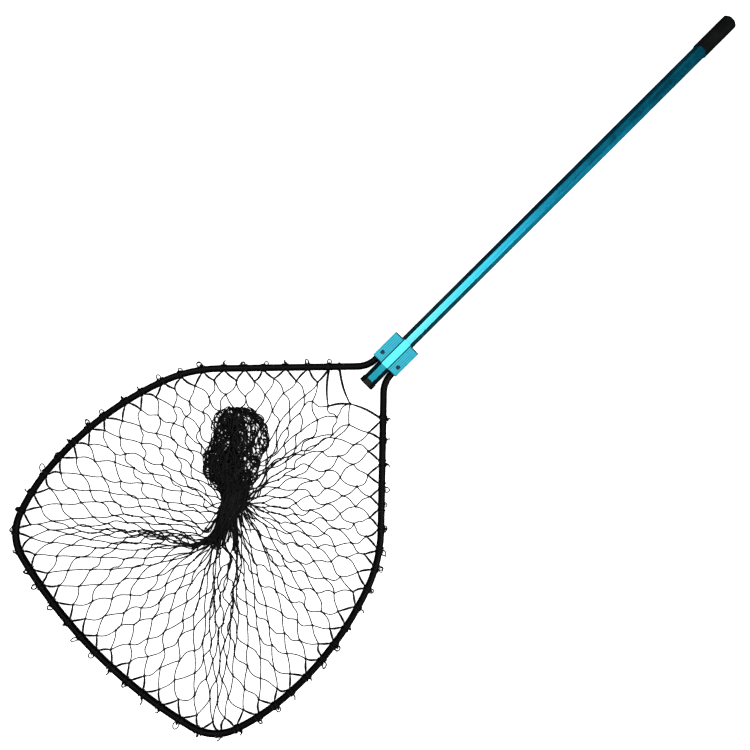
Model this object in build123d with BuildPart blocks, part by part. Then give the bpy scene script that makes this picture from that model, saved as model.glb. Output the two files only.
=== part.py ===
from build123d import *
import os
from math import sin, cos, radians, pi

# Landing net lying flat: kite-shaped tube hoop, block yoke, octagonal sliding handle, knotted twine bag.
# Millimetres. +X runs along the handle towards the butt, +Z is up, the floor is z = 0.
# The origin is on the floor, midway between the hoop's far side and the butt's end.

# ---- driving dimensions -------------------------------------------------------------------------------------
HANDLE_AF = 26.0  # octagonal handle, across flats
HANDLE_WALL = 1.4
HANDLE_LENGTH = 914.4
HANDLE_EDGE_R = 1.2  # rounding of the eight edges
HANDLE_FRONT = -46.1  # handle's front end, from the yoke's front face

HOOP_OD = 12.7
HOOP_WALL = 1.3
ARM_Y = 19.4  # hoop arms' distance from the handle's axis, inside the yoke
ARM_DROP = 11.6  # hoop plane below the handle's axis
ARM_INSERT = 48.0  # length of each arm inside the yoke

YOKE_LENGTH = 58.0
YOKE_WIDTH = 56.5
YOKE_WALL = 2.5
EAR_RISE = 14.2  # ear top above the handle's axis
AXIS_Z = 20.2  # handle's axis above the floor
HOOP_Z = AXIS_Z - ARM_DROP

LINER_WALL = 1.0
SLIDE_CLEARANCE = 0.06
SEAT_CLEARANCE = 0.04

SCREW_X = 15.0  # hoop screws, from the yoke's front face
LOCK_X = 28.0  # lock button, from the yoke's front face
BUTTON_R = 3.5
TWINE_R = 1.05
BORDER_PITCH = 38.0

# hoop outline: bend out of the yoke, straight arm, then arcs (radius, angle), corner and far side
BEND_R, BEND_DEG = 50.0, 44.0
ARM_LENGTH = 248.4
SIDE_ARCS = ((254.4, 23.94), (587.3, 24.32), (404.0, 14.98))
CORNER_R, CORNER_DEG = 82.8, 75.47

CAP_WALL, CAP_LENGTH = 1.3, 12.0
GRIP_MOUTH, GRIP_END = 795.2, 870.4

# ---- derived ------------------------------------------------------------------------------------------------
HALF = HANDLE_AF / 2
LINER_IN = HALF + SLIDE_CLEARANCE
LINER_OUT = LINER_IN + LINER_WALL
BORE_HALF = LINER_OUT + SEAT_CLEARANCE


def hoop_half():
    """Points, headings and radii of one half of the hoop's centreline, from the yoke's front face (0, ARM_Y)."""
    x, y, b = 0.0, ARM_Y, 0.0
    out = []
    for r, turn in (
        [(BEND_R, BEND_DEG), (None, ARM_LENGTH)]
        + [(r, -t) for r, t in SIDE_ARCS]
        + [(CORNER_R, None)]
    ):
        if r is None:
            nx, ny = x - turn * cos(b), y + turn * sin(b)
            out.append(("line", (x, y), (nx, ny), None))
            x, y = nx, ny
            continue
        e = -radians(CORNER_DEG) if turn is None else b + radians(turn)
        s = 1 if e > b else -1
        mid = (b + e) / 2
        mx, my = x - r * s * (sin(mid) - sin(b)), y + r * s * (cos(b) - cos(mid))
        nx, ny = x - r * s * (sin(e) - sin(b)), y + r * s * (cos(b) - cos(e))
        out.append(("arc", (x, y), (nx, ny), (mx, my)))
        x, y, b = nx, ny, e
    r = y / cos(b)
    mid = (b - pi / 2) / 2
    mx, my = x + r * (sin(mid) - sin(b)), y - r * (cos(b) - cos(mid))
    nx, ny = x + r * (-1 - sin(b)), 0.0
    out.append(("arc", (x, y), (nx, ny), (mx, my)))
    return out, nx


HOOP_PIECES, FAR_X = hoop_half()
X_LOW = FAR_X - HOOP_OD / 2 - 2 * TWINE_R - 0.05
X0 = -(X_LOW + GRIP_END) / 2  # the yoke's front face in the part's frame

yoke_section = Plane(origin=(X0, 0, 0), x_dir=(0, 1, 0), z_dir=(1, 0, 0))


def across(x):
    """Section plane square to the handle: local x is +Y, local y is +Z."""
    return Plane(origin=(X0 + x, 0, 0), x_dir=(0, 1, 0), z_dir=(1, 0, 0))


def hoop_edges(side):
    """Adds one half of the hoop's centreline to the current line; side is +1 or -1."""
    for kind, a, b, m in HOOP_PIECES:
        a = (X0 + a[0], side * a[1])
        b = (X0 + b[0], side * b[1])
        if kind == "line":
            Line(a, b)
        else:
            ThreePointArc(a, (X0 + m[0], side * m[1]), b)


os.makedirs("parts", exist_ok=True)
made = []


def keep(shape, label):
    shape.label = label
    export_step(shape, f"parts/{label}.step")
    made.append(label)


# ---- hoop ---------------------------------------------------------------------------------------------------
with BuildPart() as hoop_tube:
    with BuildLine(Plane.XY.offset(HOOP_Z)) as hoop_path:
        Line((X0 + ARM_INSERT, ARM_Y), (X0, ARM_Y))
        hoop_edges(1)
        hoop_edges(-1)
        Line((X0, -ARM_Y), (X0 + ARM_INSERT, -ARM_Y))
    with BuildSketch(
        Plane(origin=(X0 + ARM_INSERT, ARM_Y, HOOP_Z), x_dir=(0, 1, 0), z_dir=(-1, 0, 0))
    ):
        Circle(HOOP_OD / 2)
        Circle(HOOP_OD / 2 - HOOP_WALL, mode=Mode.SUBTRACT)
    sweep(path=hoop_path.wires()[0])
    # cross holes for the retaining screws, through the upper wall only
    for side in (1, -1):
        with BuildSketch(Plane.XY.offset(HOOP_Z)):
            with Locations((X0 + SCREW_X, side * ARM_Y)):
                Circle(2.15)
        extrude(amount=HOOP_OD, mode=Mode.SUBTRACT)
keep(hoop_tube.part, "hoop_tube")

with BuildPart() as hoop_end_dowels:
    with BuildSketch(across(6.0)):
        with Locations((ARM_Y, HOOP_Z), (-ARM_Y, HOOP_Z)):
            Circle(HOOP_OD / 2 - HOOP_WALL - 0.05)
    extrude(amount=38.0)
    chamfer(hoop_end_dowels.edges().filter_by(GeomType.CIRCLE), length=0.6)
    with BuildSketch(Plane.XY.offset(HOOP_Z - 1.0)):
        with Locations((X0 + SCREW_X, ARM_Y), (X0 + SCREW_X, -ARM_Y)):
            Circle(2.05)
    extrude(amount=HOOP_OD, mode=Mode.SUBTRACT)
keep(hoop_end_dowels.part, "hoop_end_dowels")

# ---- yoke ---------------------------------------------------------------------------------------------------
with BuildPart() as yoke_block:
    with BuildSketch(yoke_section):
        with Locations((0, (AXIS_Z + EAR_RISE) / 2)):
            Rectangle(YOKE_WIDTH, AXIS_Z + EAR_RISE)
        with Locations((0, AXIS_Z)):
            RegularPolygon(BORE_HALF + YOKE_WALL, 8, major_radius=False, rotation=22.5)
    extrude(amount=YOKE_LENGTH)
    # lower long edges follow the hoop bores; upper long edges are just broken
    long_edges = yoke_block.edges().filter_by(Axis.X)
    fillet(long_edges.group_by(Axis.Z)[0], radius=YOKE_WIDTH / 2 - ARM_Y)
    ear_edges = (
        yoke_block.edges()
        .filter_by(Axis.X)
        .filter_by(lambda e: abs(abs(e.center().Y) - YOKE_WIDTH / 2) < 0.01 and e.center().Z > AXIS_Z)
    )
    fillet(ear_edges, radius=1.2)
    # rounded corners seen from above, larger at the butt side
    rear = yoke_block.edges().filter_by(Axis.Z).filter_by(lambda e: e.center().X > X0 + YOKE_LENGTH - 0.1)
    fillet(rear, radius=3.0)
    front = yoke_block.edges().filter_by(Axis.Z).filter_by(lambda e: e.center().X < X0 + 0.1)
    fillet(front, radius=1.5)
    # octagonal bore for the liner and the two round bores for the hoop's arms
    with BuildSketch(yoke_section):
        with Locations((0, AXIS_Z)):
            RegularPolygon(BORE_HALF, 8, major_radius=False, rotation=22.5)
        with Locations((ARM_Y, HOOP_Z), (-ARM_Y, HOOP_Z)):
            Circle(HOOP_OD / 2 + 0.05)
    extrude(amount=YOKE_LENGTH, mode=Mode.SUBTRACT)
    # two fine extrusion grooves along each ear
    with BuildSketch(yoke_section):
        for gy in (9.9, 24.6):
            with Locations((gy, AXIS_Z + EAR_RISE), (-gy, AXIS_Z + EAR_RISE)):
                Rectangle(0.9, 0.8)
    extrude(amount=YOKE_LENGTH, mode=Mode.SUBTRACT)
    # screw holes from the ears down into the hoop's arms
    with BuildSketch(Plane.XY.offset(HOOP_Z)):
        with Locations((X0 + SCREW_X, ARM_Y), (X0 + SCREW_X, -ARM_Y)):
            Circle(2.1)
    extrude(amount=60.0, mode=Mode.SUBTRACT)
    # lock hole with a thumb recess, and two set-screw holes, in the underside
    with BuildSketch(Plane.XY):
        with Locations((X0 + LOCK_X, 0)):
            Circle(BUTTON_R + 0.4)
        with Locations((X0 + 8.0, 0), (X0 + 48.0, 0)):
            Circle(2.0)
    extrude(amount=AXIS_Z - HALF, mode=Mode.SUBTRACT)
    with BuildSketch(Plane.XY):
        with Locations((X0 + LOCK_X, 0)):
            Circle(9.0)
    extrude(amount=3.4, taper=20, mode=Mode.SUBTRACT)
keep(yoke_block.part, "yoke_block")

with BuildPart() as yoke_liner:
    with BuildSketch(across(1.5)) as liner_ring:
        with Locations((0, AXIS_Z)):
            RegularPolygon(LINER_OUT, 8, major_radius=False, rotation=22.5)
        with BuildSketch(mode=Mode.PRIVATE) as liner_hole:
            RegularPolygon(LINER_IN, 8, major_radius=False, rotation=22.5)
            fillet(liner_hole.vertices(), radius=HANDLE_EDGE_R)
        with Locations((0, AXIS_Z)):
            add(liner_hole.sketch, mode=Mode.SUBTRACT)
    extrude(amount=YOKE_LENGTH - 3.0)
    with BuildSketch(Plane.XY):
        with Locations((X0 + LOCK_X, 0)):
            Circle(BUTTON_R + 0.4)
    extrude(amount=AXIS_Z - 5.0, mode=Mode.SUBTRACT)
    # shallow dimples that the set screws seat in
    with BuildSketch(Plane.XY):
        with Locations((X0 + 8.0, 0), (X0 + 48.0, 0)):
            Circle(2.0)
    extrude(amount=AXIS_Z - LINER_OUT + 0.45, mode=Mode.SUBTRACT)
keep(yoke_liner.part, "yoke_liner")

with BuildPart() as liner_set_screws:
    with BuildSketch(Plane.XY.offset(0.5)):
        with Locations((X0 + 8.0, 0), (X0 + 48.0, 0)):
            Circle(1.95)
            RegularPolygon(1.0, 6, major_radius=False, mode=Mode.SUBTRACT)
    extrude(amount=2.0)
    with BuildSketch(Plane.XY.offset(2.5)):
        with Locations((X0 + 8.0, 0), (X0 + 48.0, 0)):
            Circle(1.95)
    extrude(amount=AXIS_Z - LINER_OUT + 0.4 - 2.5)
keep(liner_set_screws.part, "liner_set_screws")

EAR_Z = AXIS_Z + EAR_RISE
with BuildPart() as hoop_screws:
    with BuildSketch(Plane.XY.offset(HOOP_Z - 0.9)):
        with Locations((X0 + SCREW_X, ARM_Y), (X0 + SCREW_X, -ARM_Y)):
            Circle(2.0)
    extrude(amount=EAR_Z - HOOP_Z + 0.9)
    with BuildSketch(Plane.XY.offset(EAR_Z)):
        with Locations((X0 + SCREW_X, ARM_Y), (X0 + SCREW_X, -ARM_Y)):
            Circle(3.75)
    extrude(amount=2.2)
    fillet(
        hoop_screws.edges().filter_by(GeomType.CIRCLE).group_by(Axis.Z)[-1], radius=1.3
    )
    with BuildSketch(Plane.XY.offset(EAR_Z + 2.2)):
        with Locations((X0 + SCREW_X, ARM_Y), (X0 + SCREW_X, -ARM_Y)):
            RegularPolygon(1.25, 6, major_radius=False)
    extrude(amount=-1.5, mode=Mode.SUBTRACT)
keep(hoop_screws.part, "hoop_screws")

with BuildPart() as arm_bore_plugs:
    with BuildSketch(across(ARM_INSERT + 1.0)):
        with Locations((ARM_Y, HOOP_Z), (-ARM_Y, HOOP_Z)):
            Circle(HOOP_OD / 2)
    extrude(amount=YOKE_LENGTH - ARM_INSERT - 1.0)
    with BuildSketch(across(YOKE_LENGTH)):
        with Locations((ARM_Y, HOOP_Z), (-ARM_Y, HOOP_Z)):
            Circle(HOOP_OD / 2 - 1.6)
    extrude(amount=-4.0, mode=Mode.SUBTRACT)
keep(arm_bore_plugs.part, "arm_bore_plugs")

# ---- handle -------------------------------------------------------------------------------------------------
with BuildPart() as handle_tube:
    with BuildSketch(across(HANDLE_FRONT)) as handle_section:
        with BuildSketch(mode=Mode.PRIVATE) as outer8:
            RegularPolygon(HALF, 8, major_radius=False, rotation=22.5)
            fillet(outer8.vertices(), radius=HANDLE_EDGE_R)
        with BuildSketch(mode=Mode.PRIVATE) as inner8:
            RegularPolygon(HALF - HANDLE_WALL, 8, major_radius=False, rotation=22.5)
            fillet(inner8.vertices(), radius=0.6)
        with Locations((0, AXIS_Z)):
            add(outer8.sketch)
            add(inner8.sketch, mode=Mode.SUBTRACT)
    extrude(amount=HANDLE_LENGTH)
    with BuildSketch(Plane.XY):
        with Locations((X0 + LOCK_X, 0)):
            Circle(BUTTON_R + 0.15)
    extrude(amount=AXIS_Z, mode=Mode.SUBTRACT)
keep(handle_tube.part, "handle_tube")

with BuildPart() as front_cap:
    with BuildSketch(across(HANDLE_FRONT - 1.4)) as cap_section:
        with BuildSketch(mode=Mode.PRIVATE) as cap8:
            RegularPolygon(HALF + CAP_WALL, 8, major_radius=False, rotation=22.5)
            fillet(cap8.vertices(), radius=1.6)
        with Locations((0, AXIS_Z)):
            add(cap8.sketch)
    extrude(amount=CAP_LENGTH)
    fillet(front_cap.faces().sort_by(Axis.X)[0].edges(), radius=0.9)
    with BuildSketch(across(HANDLE_FRONT - 0.02)):
        with BuildSketch(mode=Mode.PRIVATE) as cap_hole:
            RegularPolygon(HALF + 0.02, 8, major_radius=False, rotation=22.5)
            fillet(cap_hole.vertices(), radius=HANDLE_EDGE_R)
        with Locations((0, AXIS_Z)):
            add(cap_hole.sketch)
    extrude(amount=CAP_LENGTH, mode=Mode.SUBTRACT)
keep(front_cap.part, "front_cap")

with BuildPart() as butt_grip:
    with BuildSketch(across(GRIP_MOUTH)):
        with BuildSketch(mode=Mode.PRIVATE) as grip8:
            RegularPolygon(HALF + 1.35, 8, major_radius=False, rotation=22.5)
            fillet(grip8.vertices(), radius=7.0)
        with Locations((0, AXIS_Z)):
            add(grip8.sketch)
    extrude(amount=GRIP_END - GRIP_MOUTH)
    fillet(butt_grip.faces().sort_by(Axis.X)[-1].edges(), radius=3.2)
    with BuildSketch(across(GRIP_MOUTH)):
        with BuildSketch(mode=Mode.PRIVATE) as grip_hole:
            RegularPolygon(HALF + 0.02, 8, major_radius=False, rotation=22.5)
            fillet(grip_hole.vertices(), radius=HANDLE_EDGE_R)
        with Locations((0, AXIS_Z)):
            add(grip_hole.sketch)
    extrude(amount=HANDLE_FRONT + HANDLE_LENGTH + 0.02 - GRIP_MOUTH, mode=Mode.SUBTRACT)
keep(butt_grip.part, "butt_grip")

with BuildPart() as front_float:
    with BuildSketch(across(HANDLE_FRONT + 1.0)):
        with Locations((0, AXIS_Z)):
            RegularPolygon(HALF - HANDLE_WALL - 0.15, 8, major_radius=False, rotation=22.5)
    extrude(amount=58.0)
    chamfer(front_float.faces().sort_by(Axis.X)[-1].edges(), length=1.0)
keep(front_float.part, "front_float")

with BuildPart() as butt_float:
    with BuildSketch(across(700.0)):
        with Locations((0, AXIS_Z)):
            RegularPolygon(HALF - HANDLE_WALL - 0.15, 8, major_radius=False, rotation=22.5)
    extrude(amount=HANDLE_FRONT + HANDLE_LENGTH - 701.0)
    chamfer(butt_float.faces().sort_by(Axis.X)[0].edges(), length=1.0)
keep(butt_float.part, "butt_float")

# ---- lock button, its rivet and its V spring, inside the handle -----------------------------------------------
FLOOR_IN = AXIS_Z - HALF + HANDLE_WALL  # inner face of the handle's lower wall
with BuildPart() as lock_button:
    with BuildSketch(Plane.XY.offset(3.0)):
        with Locations((X0 + LOCK_X, 0)):
            Circle(BUTTON_R)
    extrude(amount=FLOOR_IN + 0.06 - 3.0)
    fillet(lock_button.edges().filter_by(GeomType.CIRCLE).group_by(Axis.Z)[0], radius=2.4)
    with BuildSketch(Plane.XY.offset(FLOOR_IN + 0.06)):
        with Locations((X0 + LOCK_X, 0)):
            Circle(4.6)
    extrude(amount=1.2)
    with BuildSketch(Plane.XY.offset(FLOOR_IN + 1.26)):
        with Locations((X0 + LOCK_X, 0)):
            Circle(1.3)
    extrude(amount=-3.0, mode=Mode.SUBTRACT)
keep(lock_button.part, "lock_button")

SPRING_Z = FLOOR_IN + 1.75  # middle of the spring's lower leg
with BuildPart() as lock_rivet:
    with BuildSketch(Plane.XY.offset(FLOOR_IN - 1.2)):
        with Locations((X0 + LOCK_X, 0)):
            Circle(1.28)
    extrude(amount=SPRING_Z + 0.35 - FLOOR_IN + 1.2)
    with BuildSketch(Plane.XY.offset(SPRING_Z + 0.35)):
        with Locations((X0 + LOCK_X, 0)):
            Circle(2.4)
    extrude(amount=0.9)
    fillet(lock_rivet.edges().filter_by(GeomType.CIRCLE).group_by(Axis.Z)[-1], radius=0.6)
keep(lock_rivet.part, "lock_rivet")

with BuildPart() as lock_spring:
    with BuildSketch(Plane(origin=(0, 4.0, 0), x_dir=(1, 0, 0), z_dir=(0, -1, 0))) as spring_side:
        with BuildLine() as leaf:
            FilletPolyline(
                (X0 + LOCK_X - 8.0, SPRING_Z),
                (X0 + LOCK_X + 12.0, SPRING_Z),
                (X0 + LOCK_X + 44.0, SPRING_Z + 5.5),
                (X0 + LOCK_X + 44.0, AXIS_Z + HALF - HANDLE_WALL - 4.5),
                (X0 + LOCK_X + 8.0, AXIS_Z + HALF - HANDLE_WALL - 0.6),
                radius=3.0,
            )
        trace(line_width=0.5)
    extrude(amount=8.0)
    with BuildSketch(Plane.XY.offset(FLOOR_IN)):
        with Locations((X0 + LOCK_X, 0)):
            Circle(1.55)
    extrude(amount=4.0, mode=Mode.SUBTRACT)
keep(lock_spring.part, "lock_spring")

# ---- net: soft parts stand as plain closed solids of the shape they lie in ------------------------------------
THROAT = ((-61.0, 48.5), (-93.0, -5.0), (-70.0, -57.0))
with BuildPart() as net_skirt:
    with BuildSketch(Plane.XY):
        with BuildLine():
            hoop_edges(1)
            hoop_edges(-1)
            Line((X0, ARM_Y), (X0, -ARM_Y))
        make_face()
        offset(amount=-HOOP_OD / 2 - 2 * TWINE_R - 0.4)
        with BuildLine():
            Polyline(
                (X0 + THROAT[0][0] - 6.0, THROAT[0][1] + 60.0),
                (X0 + THROAT[0][0] - 6.0, THROAT[0][1]),
                (X0 + THROAT[1][0] - 6.0, THROAT[1][1]),
                (X0 + THROAT[2][0] - 6.0, THROAT[2][1]),
                (X0 + THROAT[2][0] - 6.0, THROAT[2][1] - 60.0),
                (X0 + 40.0, THROAT[2][1] - 60.0),
                (X0 + 40.0, THROAT[0][1] + 60.0),
                close=True,
            )
        make_face(mode=Mode.SUBTRACT)
    extrude(amount=2.6)
keep(net_skirt.part, "net_skirt")

with BuildPart() as throat_cord:
    with BuildLine(Plane.XY.offset(4.2)) as throat_path:
        FilletPolyline(*[(X0 + x, y) for x, y in THROAT], radius=14.0)
    with BuildSketch(Plane(origin=throat_path.line @ 0, z_dir=throat_path.line % 0)):
        Circle(1.3)
    sweep()
keep(throat_cord.part, "throat_cord")

# twine turns that carry the bag on the hoop, one ring per border mesh
with BuildPart() as border_rings:
    loop = hoop_path.wires()[0]
    total = loop.length
    first = ARM_INSERT + 92.0
    n = int(round((total - 2 * first) / BORDER_PITCH))
    for k in range(n + 1):
        t = (first + (total - 2 * first) * k / n) / total
        here, ahead = loop @ t, loop % t
        with Locations(Location(Plane(origin=here, z_dir=ahead))):
            Torus(HOOP_OD / 2 + TWINE_R + 0.05, TWINE_R)
keep(border_rings.part, "border_rings")

BUNDLE = (
    (-250, 152),
    (-222, 126),
    (-222, 86),
    (-256, 48),
    (-304, 22),
    (-338, 8),
    (-366, 26),
    (-377, 62),
    (-352, 104),
    (-304, 140),
)
with BuildPart() as net_bundle:
    with BuildSketch(Plane.XY.offset(2.9)):
        with BuildLine():
            Spline(*[(X0 + x, y) for x, y in BUNDLE], periodic=True)
        make_face()
    extrude(amount=30.0)
    fillet(net_bundle.faces().sort_by(Axis.Z)[-1].edges(), radius=8.0)
keep(net_bundle.part, "net_bundle")

with BuildPart() as net_neck:
    with BuildSketch(Plane.XY.offset(2.9)):
        with Locations((X0 - 404.0, -2.0)):
            Ellipse(40.0, 27.0)
    extrude(amount=16.0)
    fillet(net_neck.faces().sort_by(Axis.Z)[-1].edges(), radius=5.0)
keep(net_neck.part, "net_neck")

print(len(made), "nodes; yoke front face at x =", round(X0, 3), "; hoop far centreline at x =", round(X0 + FAR_X, 3))
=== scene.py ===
import math

import bmesh
import bpy
import numpy as np
from mathutils import Matrix, Vector


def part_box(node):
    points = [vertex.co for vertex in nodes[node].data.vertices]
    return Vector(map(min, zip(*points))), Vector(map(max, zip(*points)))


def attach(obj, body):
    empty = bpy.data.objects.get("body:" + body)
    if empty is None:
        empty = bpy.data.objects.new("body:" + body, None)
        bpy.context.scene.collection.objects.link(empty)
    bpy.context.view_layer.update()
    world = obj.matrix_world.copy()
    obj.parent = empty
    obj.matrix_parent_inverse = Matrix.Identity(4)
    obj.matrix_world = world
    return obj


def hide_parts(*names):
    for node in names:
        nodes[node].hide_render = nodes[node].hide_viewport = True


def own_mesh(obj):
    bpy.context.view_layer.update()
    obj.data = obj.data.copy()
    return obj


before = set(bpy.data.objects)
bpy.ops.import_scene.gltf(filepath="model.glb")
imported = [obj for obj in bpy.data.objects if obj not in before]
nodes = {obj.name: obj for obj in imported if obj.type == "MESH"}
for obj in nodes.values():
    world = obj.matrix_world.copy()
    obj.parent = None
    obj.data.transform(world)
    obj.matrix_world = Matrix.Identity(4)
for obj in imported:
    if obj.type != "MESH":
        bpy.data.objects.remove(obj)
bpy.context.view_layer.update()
FRAME_BODY, HANDLE_BODY, LOCK_BODY = "net_frame", "handle", "lock"
scene = bpy.context.scene
coll = scene.collection

# ---------------------------------------------------------------------------------------------------------------
# key places, all read from the CAD frame (metres)
# ---------------------------------------------------------------------------------------------------------------
yoke_lo, yoke_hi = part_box("yoke_block")
hoop_lo, hoop_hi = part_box("hoop_tube")
han_lo, han_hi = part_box("handle_tube")
X0 = yoke_lo.x  # yoke's front face
HOOP_Z = (hoop_lo.z + hoop_hi.z) / 2
HOOP_R = (hoop_hi.z - hoop_lo.z) / 2
TW = 0.00123  # twine radius


# the hoop's centreline, rebuilt from the same dimensions as the CAD
def hoop_outline(step=0.004):
    arm_y = 0.0194
    x, y, b = 0.0, arm_y, 0.0
    pts = [(x, y)]

    def arc(r, e):
        nonlocal x, y, b
        s = 1 if e > b else -1
        n = max(2, int(abs(e - b) * r / step))
        x0_, y0_, b0 = x, y, b
        for i in range(1, n + 1):
            t = b0 + (e - b0) * i / n
            pts.append((x0_ - r * s * (math.sin(t) - math.sin(b0)), y0_ + r * s * (math.cos(b0) - math.cos(t))))
        x, y, b = pts[-1][0], pts[-1][1], e

    arc(0.050, math.radians(44.0))
    n = int(0.2484 / step)
    x0_, y0_ = x, y
    for i in range(1, n + 1):
        d = 0.2484 * i / n
        pts.append((x0_ - d * math.cos(b), y0_ + d * math.sin(b)))
    x, y = pts[-1]
    for r, t in ((0.2544, 23.94), (0.5873, 24.32), (0.404, 14.98)):
        arc(r, b - math.radians(t))
    arc(0.0828, -math.radians(75.47))
    r = y / math.cos(b)
    arc(r, -math.pi / 2)
    half = np.array(pts)
    other = half[::-1][1:].copy()
    other[:, 1] *= -1
    full = np.vstack([half, other])
    full[:, 0] += X0
    return full


HOOP = hoop_outline()
_seg = np.linalg.norm(np.diff(HOOP, axis=0), axis=1)
HOOP_S = np.concatenate([[0], np.cumsum(_seg)])
HOOP_LEN = HOOP_S[-1]


def hoop_at(s):
    """Point and inward normal on the hoop's centreline at arc length s (starts at the +Y arm, at the yoke)."""
    s = np.clip(s, 0.001, HOOP_LEN - 0.001)
    px = np.interp(s, HOOP_S, HOOP[:, 0])
    py = np.interp(s, HOOP_S, HOOP[:, 1])
    qx = np.interp(s + 0.001, HOOP_S, HOOP[:, 0]) - np.interp(s - 0.001, HOOP_S, HOOP[:, 0])
    qy = np.interp(s + 0.001, HOOP_S, HOOP[:, 1]) - np.interp(s - 0.001, HOOP_S, HOOP[:, 1])
    ln = math.hypot(qx, qy)
    tx, ty = qx / ln, qy / ln
    return np.array([px, py]), np.array([tx, ty]), np.array([-ty, tx])


# ---------------------------------------------------------------------------------------------------------------
# camera: straight above, the photograph's viewing angle
# ---------------------------------------------------------------------------------------------------------------
cam_data = bpy.data.cameras.new("camera")
cam = bpy.data.objects.new("camera", cam_data)
coll.objects.link(cam)
scene.camera = cam
right = Vector((0.7083, -0.7059, 0.0)).normalized()
up = Vector((0.7059, 0.7083, 0.0)).normalized()
up = (up - right * up.dot(right)).normalized()
back = right.cross(up)
cam.matrix_world = Matrix((
    (right.x, up.x, back.x, X0 - 0.0232),
    (right.y, up.y, back.y, 0.0),
    (right.z, up.z, back.z, HOOP_Z + 1.364),
    (0, 0, 0, 1),
))
cam_data.sensor_width = 36.0
cam_data.lens = 18.0 / (0.675 / 1.364)
cam_data.clip_start = 0.01
cam_data.clip_end = 20.0
cam_data.dof.use_dof = False
scene.view_settings.view_transform = "Standard"

# ---------------------------------------------------------------------------------------------------------------
# material helpers
# ---------------------------------------------------------------------------------------------------------------


class Mat:
    """A small wrapper for building node materials."""

    def __init__(self, name):
        self.m = bpy.data.materials.new(name)
        self.m.use_nodes = True
        self.t = self.m.node_tree
        self.t.nodes.clear()
        self.out = self.n("ShaderNodeOutputMaterial")
        self.b = self.n("ShaderNodeBsdfPrincipled")
        self.l(self.b.outputs["BSDF"], self.out.inputs["Surface"])
        self.co = self.n("ShaderNodeTexCoord").outputs["Object"]

    def n(self, kind, **kw):
        x = self.t.nodes.new(kind)
        for k, v in kw.items():
            setattr(x, k, v)
        return x

    def l(self, a, b):
        self.t.links.new(a, b)

    def set(self, **kw):
        for k, v in kw.items():
            self.b.inputs[k.replace("_", " ")].default_value = v

    def scale(self, vec, s):
        x = self.n("ShaderNodeVectorMath", operation="MULTIPLY")
        self.l(vec, x.inputs[0])
        x.inputs[1].default_value = s
        return x.outputs[0]

    def noise(self, scale, detail=3.0, rough=0.55, vec=None, distortion=0.0):
        x = self.n("ShaderNodeTexNoise")
        x.inputs["Scale"].default_value = scale
        x.inputs["Detail"].default_value = detail
        x.inputs["Roughness"].default_value = rough
        x.inputs["Distortion"].default_value = distortion
        self.l(vec or self.co, x.inputs["Vector"])
        return x.outputs["Fac"]

    def wave(self, scale, vec=None, distortion=0.0, direction="X", profile="SIN", detail=0.0):
        x = self.n("ShaderNodeTexWave", wave_type="BANDS", bands_direction=direction, wave_profile=profile)
        x.inputs["Scale"].default_value = scale
        x.inputs["Distortion"].default_value = distortion
        x.inputs["Detail"].default_value = detail
        self.l(vec or self.co, x.inputs["Vector"])
        return x.outputs["Fac"]

    def ramp(self, fac, stops, interpolation="LINEAR"):
        x = self.n("ShaderNodeValToRGB")
        x.color_ramp.interpolation = interpolation
        e = x.color_ramp.elements
        while len(e) > 1:
            e.remove(e[-1])
        for i, (p, c) in enumerate(stops):
            if i == 0:
                e[0].position = p
                e[0].color = (*c, 1) if len(c) == 3 else c
            else:
                k = e.new(p)
                k.color = (*c, 1) if len(c) == 3 else c
        self.l(fac, x.inputs["Fac"])
        return x.outputs["Color"]

    def maprange(self, fac, a, b, c, d):
        x = self.n("ShaderNodeMapRange")
        self.l(fac, x.inputs["Value"])
        for k, v in zip(("From Min", "From Max", "To Min", "To Max"), (a, b, c, d)):
            x.inputs[k].default_value = v
        return x.outputs["Result"]

    def math(self, op, a, b=None, clamp=False):
        x = self.n("ShaderNodeMath", operation=op)
        x.use_clamp = clamp
        for i, v in enumerate((a, b)):
            if v is None:
                continue
            if isinstance(v, (int, float)):
                x.inputs[i].default_value = v
            else:
                self.l(v, x.inputs[i])
        return x.outputs[0]

    def mix(self, fac, a, b, mode="MIX"):
        x = self.n("ShaderNodeMix", data_type="RGBA", blend_type=mode)
        for s, v in ((x.inputs[0], fac), (x.inputs[6], a), (x.inputs[7], b)):
            if isinstance(v, (int, float)):
                s.default_value = v
            elif isinstance(v, tuple):
                s.default_value = (*v, 1) if len(v) == 3 else v
            else:
                self.l(v, s)
        return x.outputs[2]

    def bump(self, height, strength=0.3, distance=0.001, normal=None):
        x = self.n("ShaderNodeBump")
        x.inputs["Strength"].default_value = strength
        x.inputs["Distance"].default_value = distance
        self.l(height, x.inputs["Height"])
        if normal is not None:
            self.l(normal, x.inputs["Normal"])
        return x.outputs["Normal"]

    def sep(self, vec=None):
        x = self.n("ShaderNodeSeparateXYZ")
        self.l(vec or self.co, x.inputs[0])
        return x.outputs


def put(node, mat):
    o = nodes[node]
    o.data.materials.clear()
    o.data.materials.append(mat)


def shade(o, angle=35):
    """Smooth shading within facets, sharp across edges steeper than angle."""
    me = o.data
    me.shade_smooth()
    bm = bmesh.new()
    bm.from_mesh(me)
    lim = math.radians(angle)
    for e in bm.edges:
        if len(e.link_faces) == 2 and e.calc_face_angle(0) > lim:
            e.smooth = False
    bm.to_mesh(me)
    bm.free()


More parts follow.
